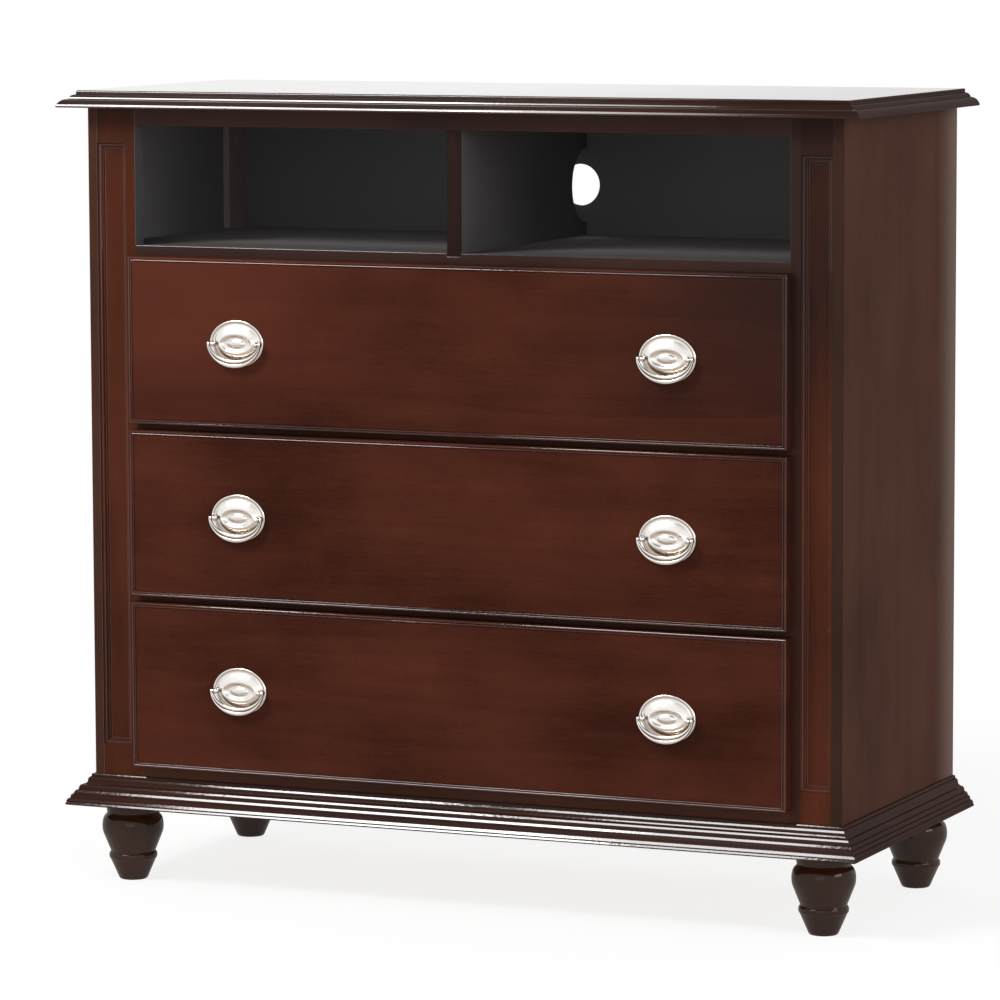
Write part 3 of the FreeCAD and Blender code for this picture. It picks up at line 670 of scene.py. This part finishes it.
def make_base_moulding(materials):
    """Reeded base moulding in three mitred lengths."""
    low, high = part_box("base_moulding_front")
    reach = high.y - low.y
    half_body = high.x - reach
    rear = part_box("base_moulding_left")[1].y
    profile = [(reach * out, low.z + up * (high.z - low.z)) for out, up in BASE_SHARES]

    def mitre(side):
        return [Vector((side * (half_body + out), high.y - out, z)) for out, z in profile]

    def square_end(side):
        return [Vector((side * (half_body + out), rear, z)) for out, z in profile]

    lengths = (("front", "mould_x", mitre(1), mitre(-1)),
               ("left", "mould_y", mitre(-1), square_end(-1)),
               ("right", "mould_y", square_end(1), mitre(1)))
    for name, finish, start, end in lengths:
        node = "base_moulding_" + name
        piece = ring_mesh(node + "_reeded", [start, end], sharp_deg=BASE_SHARP_DEG)
        finish_piece(piece, "chest", "moulding_wood", materials[finish], node)


# Oval plate of a pull: half width, half height and height above the drawer front. The widths are scaled
# so that the first becomes PLATE_HALF_MM
PLATE_RINGS_MM = [
    (40.0, 31.0, 0.0), (40.0, 31.0, 0.8), (39.8, 30.8, 1.45), (39.3, 30.3, 1.95), (38.6, 29.6, 2.2),
    (37.9, 28.9, 2.1), (37.3, 28.3, 1.7), (36.9, 27.9, 1.2), (36.4, 27.4, 0.85), (35.7, 26.6, 0.62),
    (34.9, 25.7, 0.55), (34.1, 24.8, 0.65), (33.4, 23.9, 0.95), (32.6, 22.9, 1.45), (31.4, 21.6, 2.2),
    (30.0, 19.8, 2.95), (28.5, 17.8, 3.7), (27.0, 15.8, 4.4), (25.7, 14.1, 4.95), (24.6, 12.7, 5.25),
    (23.8, 11.8, 5.3), (23.1, 11.1, 5.1), (22.2, 10.4, 4.6), (20.9, 9.6, 3.9), (19.2, 8.8, 3.25),
    (17.2, 7.8, 2.8), (15.2, 6.9, 2.6), (13.6, 6.1, 2.65), (12.6, 5.5, 2.95), (11.6, 5.0, 3.5),
    (10.2, 4.3, 4.1), (8.3, 3.4, 4.55), (6.0, 2.4, 4.8), (3.2, 1.2, 4.92), (0.8, 0.3, 4.95),
]
PLATE_HALF_MM = 38.75
PLATE_FACETS = 96

# Post of a pull: radius and height above the drawer front
POST_RINGS_MM = [
    (3.3, 0.5), (3.3, 2.3), (3.05, 2.75), (2.6, 3.1), (2.3, 3.6), (2.2, 4.4), (2.3, 5.2), (2.7, 5.85),
    (3.05, 6.4), (3.35, 7.3), (3.55, 8.2), (3.6, 9.0), (3.52, 9.8), (3.25, 10.6), (2.8, 11.3), (2.15, 11.9),
    (1.35, 12.35), (0.5, 12.56),
]
POST_X_MM = 31.0
SMALL_FACETS = 32

# Bail: its crescent's edges as half ovals, half width and drop from the top line, and its thickness at the
# ends and what the middle has more
BAIL_OUTER_MM = (38.75, 33.5)
BAIL_INNER_MM = (35.65, 22.5)
BAIL_TOP_MM = 2.0
BAIL_THICKNESS_MM = 3.8
BAIL_MIDDLE_EXTRA_MM = 1.4
BAIL_OUT_MM = 9.3
BAIL_SPANS = 96
PIVOT_OUT_MM = 9.0

# Section of the bail: across, from its inner edge -1 to its outer edge 1, and share of half its thickness
BAIL_SECTION_SHARES = [
    (-1.0, 0.0), (-0.985, 0.30), (-0.93, 0.55), (-0.82, 0.74), (-0.66, 0.86), (-0.48, 0.90), (-0.32, 0.84),
    (-0.20, 0.68), (-0.14, 0.42), (-0.09, 0.18), (-0.03, 0.18), (0.02, 0.50), (0.08, 0.76), (0.20, 0.92),
    (0.38, 1.0), (0.58, 0.99), (0.76, 0.88), (0.90, 0.64), (0.98, 0.32), (1.0, 0.0), (0.97, -0.40),
    (0.88, -0.70), (0.6, -0.84), (0.0, -0.88), (-0.6, -0.84), (-0.88, -0.66), (-0.97, -0.36),
]

# Knuckle and pin of the bail: radius and distance from the pull's middle
KNUCKLE_RINGS_MM = [(1.2, 27.4), (1.2, 34.86), (1.9, 34.86), (2.2, 35.1), (2.2, 37.9), (1.8, 38.3)]


def make_casting(name, centre, rings_mm, facets):
    """Casting on a drawer front, from rings given by half width, half height and height."""
    rings = [[centre + Vector((half_width * math.cos(angle), -up, half_height * math.sin(angle))) * MM
              for angle in round_angles(facets)] for half_width, half_height, up in rings_mm]
    return ring_mesh(name, rings)


def make_plate(centre):
    """Oval back plate with its rim, dish, boss and sunk bowl."""
    narrow = PLATE_HALF_MM / PLATE_RINGS_MM[0][0]
    return make_casting("plate", centre, [(w * narrow, h, up) for w, h, up in PLATE_RINGS_MM], PLATE_FACETS)


def make_post(centre):
    """Turned post."""
    return make_casting("post", centre, [(r, r, up) for r, up in POST_RINGS_MM], SMALL_FACETS)


def make_bail(centre):
    """Crescent bail with its knuckles and pins."""
    rings = []
    for i in range(BAIL_SPANS + 1):
        c = math.cos(math.pi * i / BAIL_SPANS)
        s = math.sin(math.pi * i / BAIL_SPANS)
        outer = Vector((BAIL_OUTER_MM[0] * c, 0, BAIL_TOP_MM - BAIL_OUTER_MM[1] * s))
        inner = Vector((BAIL_INNER_MM[0] * c, 0, BAIL_TOP_MM - BAIL_INNER_MM[1] * s))
        half_thick = (BAIL_THICKNESS_MM + BAIL_MIDDLE_EXTRA_MM * s) / 2
        middle = (outer + inner) / 2 + Vector((0, -BAIL_OUT_MM, 0))
        across = (outer - inner) / 2
        rings.append([centre + (middle + across * u + Vector((0, -v * half_thick, 0))) * MM
                      for u, v in BAIL_SECTION_SHARES])
    parts = [ring_mesh("crescent", rings)]
    for _, side in SIDES:
        rings = [[centre + Vector((side * x, -PIVOT_OUT_MM - r * math.cos(angle) * side,
                                   r * math.sin(angle))) * MM
                  for angle in round_angles(SMALL_FACETS)] for r, x in KNUCKLE_RINGS_MM]
        parts.append(ring_mesh("knuckle", rings))
    return join_meshes("bail", parts)


# Screw head: shares of its radius and of its height
SCREW_HEAD_SHARES = [(1.0, 0.0), (1.0, 0.35), (0.93, 0.7), (0.75, 0.93), (0.45, 1.0)]

# Cross recess: radius of its middle and what its arms have more, as shares of the head's radius, the
# sharpness of the arms, and the rings down into it as shares of its outline and of the head's height
CROSS_MIDDLE = 0.14
CROSS_ARM = 0.24
CROSS_SHARPNESS = 3
CROSS_SHARES = [(1.0, 1.0), (0.9, 0.55), (0.3, 0.4)]

# Radius and height of the screw heads
PULL_SCREW_MM = (4.2, 2.2)
PANEL_SCREW_MM = (3.6, 1.5)


def make_screw_head(centre, size_mm):
    """Pan head with a cross recess, standing out toward the rear."""
    radius, height = size_mm
    angles = round_angles(SMALL_FACETS)
    head = [(radius * math.cos(angle), radius * math.sin(angle)) for angle in angles]
    cross = []
    for angle in angles:
        reach = (CROSS_MIDDLE + CROSS_ARM * abs(math.cos(2 * angle)) ** CROSS_SHARPNESS) * radius
        cross.append((reach * math.cos(angle), reach * math.sin(angle)))
    rings = []
    for outline, shares in ((head, SCREW_HEAD_SHARES), (cross, CROSS_SHARES)):
        for out, up in shares:
            rings.append([centre + Vector((-x * out, up * height, z * out)) * MM for x, z in outline])
    return ring_mesh("screw", rings, closed_start=False)


def make_pulls(materials):
    """Plates, posts and bails, and the screws that hold them from inside each drawer."""
    for level in LEVELS:
        low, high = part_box(level + "_drawer_pull_plates")
        z = (low.z + high.z) / 2
        plates = []
        posts = []
        screws = []
        for side_name, side in SIDES:
            centre = Vector((side * (high.x - PLATE_HALF_MM * MM), high.y, z))
            plates.append(make_plate(centre))
            for _, end in SIDES:
                post_centre = centre + Vector((end * POST_X_MM * MM, 0, 0))
                posts.append(make_post(post_centre))
                screw_centre = Vector((post_centre.x, BOX_FRONT_Y + BOX_BOARD, z))
                screws.append(make_screw_head(screw_centre, PULL_SCREW_MM))
            body = level + "_" + side_name + "_bail"
            bail = make_bail(centre)
            bail.name = body + "_cast"
            finish_piece(bail, body, "pull_metal", materials["nickel"], body)
        body = level + "_drawer"
        finish_piece(join_meshes(body + "_plates_cast", plates), body, "pull_metal", materials["nickel"],
                     body + "_pull_plates")
        finish_piece(join_meshes(body + "_posts_turned", posts), body, "pull_metal", materials["nickel"],
                     body + "_pull_posts")
        finish_piece(join_meshes(body + "_pull_screws", screws), body, "bolt_steel", materials["zinc"])


# Screws of the back panels: distance from the upright and the level edges, number of spaces between them
# along a level edge, and along an upright edge of each panel
PANEL_EDGE_X = 0.010
PANEL_EDGE_Z = 0.012
SPACES_ACROSS = 6
SPACES_UP = {"upper_back_panel": 1, "lower_back_panel": 4}


def make_back_screws(material):
    """Screws round the edges of the two back panels."""
    screws = []
    for node, spaces_up in SPACES_UP.items():
        low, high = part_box(node)
        width = high.x - low.x - 2 * PANEL_EDGE_X
        across = [low.x + PANEL_EDGE_X + width * i / SPACES_ACROSS for i in range(SPACES_ACROSS + 1)]
        rows = (low.z + PANEL_EDGE_Z, high.z - PANEL_EDGE_Z)
        spots = [(x, z) for x in across for z in rows]
        for i in range(1, spaces_up):
            z = rows[0] + (rows[1] - rows[0]) * i / spaces_up
            spots += [(across[0], z), (across[-1], z)]
        screws += [make_screw_head(Vector((x, high.y, z)), PANEL_SCREW_MM) for x, z in spots]
    finish_piece(join_meshes("back_panel_screws", screws), "chest", "bolt_steel", material)


# Floor: half its size, its colour, the distances between which its white comes in, and the white's share
# at the first of them
FLOOR_HALF = 60.0
FLOOR_COLOUR = colour(0.90, 0.90, 0.90)
WHITE_RANGE = (0.8, 2.2)
WHITE_START = 0.82


def seen_directly(t):
    """1 for what the camera sees, also in gloss and through glass."""
    path = t.add("LightPath").outputs
    either = t.math("MAXIMUM", path["Is Camera Ray"], path["Is Glossy Ray"])
    return t.math("MAXIMUM", either, path["Is Transmission Ray"])


def make_stage():
    """Pale floor that turns to plain white further out."""
    corners = [(x * FLOOR_HALF, y * FLOOR_HALF, 0) for x, y in ((-1, -1), (1, -1), (1, 1), (-1, 1))]
    mesh = bpy.data.meshes.new("floor")
    mesh.from_pydata(corners, [], [(0, 1, 2, 3)])
    floor = bpy.data.objects.new("floor", mesh)
    bpy.context.scene.collection.objects.link(floor)
    material = bpy.data.materials.new("floor_paper")
    t = Tree(material)
    distance = t.add("VectorMath", {0: t.place()}, operation="LENGTH").outputs["Value"]
    far = t.span(distance, *WHITE_RANGE, WHITE_START, 1.0, smooth=True)
    paper = t.add("BsdfDiffuse", {"Color": FLOOR_COLOUR}).outputs[0]
    white = t.add("Emission", {"Color": colour(1, 1, 1), "Strength": 1.0}).outputs[0]
    share = t.math("MULTIPLY", far, seen_directly(t))
    t.surface(t.add("MixShader", {0: share, 1: paper, 2: white}).outputs[0])
    mesh.materials.append(material)


# World: the heights between which its light changes, and its light below and above them
SKY_RANGE = (0.48, 0.85)
HORIZON = colour(1.08, 1.08, 1.08)
OVERHEAD = colour(0.36, 0.33, 0.30)


def make_world():
    """White at the horizon, dimmer and warmer above it."""
    world = bpy.data.worlds.new("studio")
    bpy.context.scene.world = world
    t = Tree(world)
    height = t.add("SeparateXYZ", {0: t.add("TexCoord").outputs["Generated"]}).outputs["Z"]
    tint = t.mix(t.span(height, *SKY_RANGE, smooth=True), HORIZON, OVERHEAD)
    light = t.add("Background", {"Color": tint, "Strength": 1.0}).outputs[0]
    t.tree.links.new(light, t.add("OutputWorld").inputs["Surface"])


# Soft lamps: name, place, aim, width, height, power in watts
LAMPS = [
    ("key", (-1.9, -2.5, 3.1), (0.0, -0.1, 0.55), 0.9, 0.9, 80.0),
    ("edge", (-1.0, -2.05, 3.1), (0.1, -0.2, 0.4), 0.65, 0.75, 26.0),
    ("fill", (3.7, -0.9, 1.7), (0.4, 0.0, 0.5), 1.8, 1.3, 40.0),
    ("front", (1.0, -5.2, 1.1), (0.0, 0.0, 0.8), 3.0, 1.6, 14.0),
    ("back", (-1.0, 2.6, 3.3), (0.0, 0.0, 0.6), 2.6, 1.2, 20.0),
]


def make_lamps():
    """Soft rectangular lamps, not seen by the camera."""
    for name, place, aim, width, height, power in LAMPS:
        data = bpy.data.lights.new(name, "AREA")
        data.shape = "RECTANGLE"
        data.size = width
        data.size_y = height
        data.energy = power
        lamp = bpy.data.objects.new(name, data)
        lamp.location = place
        lamp.rotation_mode = "QUATERNION"
        lamp.rotation_quaternion = (Vector(aim) - Vector(place)).to_track_quat("-Z", "Y")
        lamp.visible_camera = False
        bpy.context.scene.collection.objects.link(lamp)


place_camera()
finishes = make_materials()
dress_nodes(finishes)
make_feet(finishes["foot"])
make_base_moulding(finishes)
make_pulls(finishes)
make_back_screws(finishes["zinc"])
make_stage()
make_world()
make_lamps()

bpy.context.scene.view_settings.view_transform = "Standard"
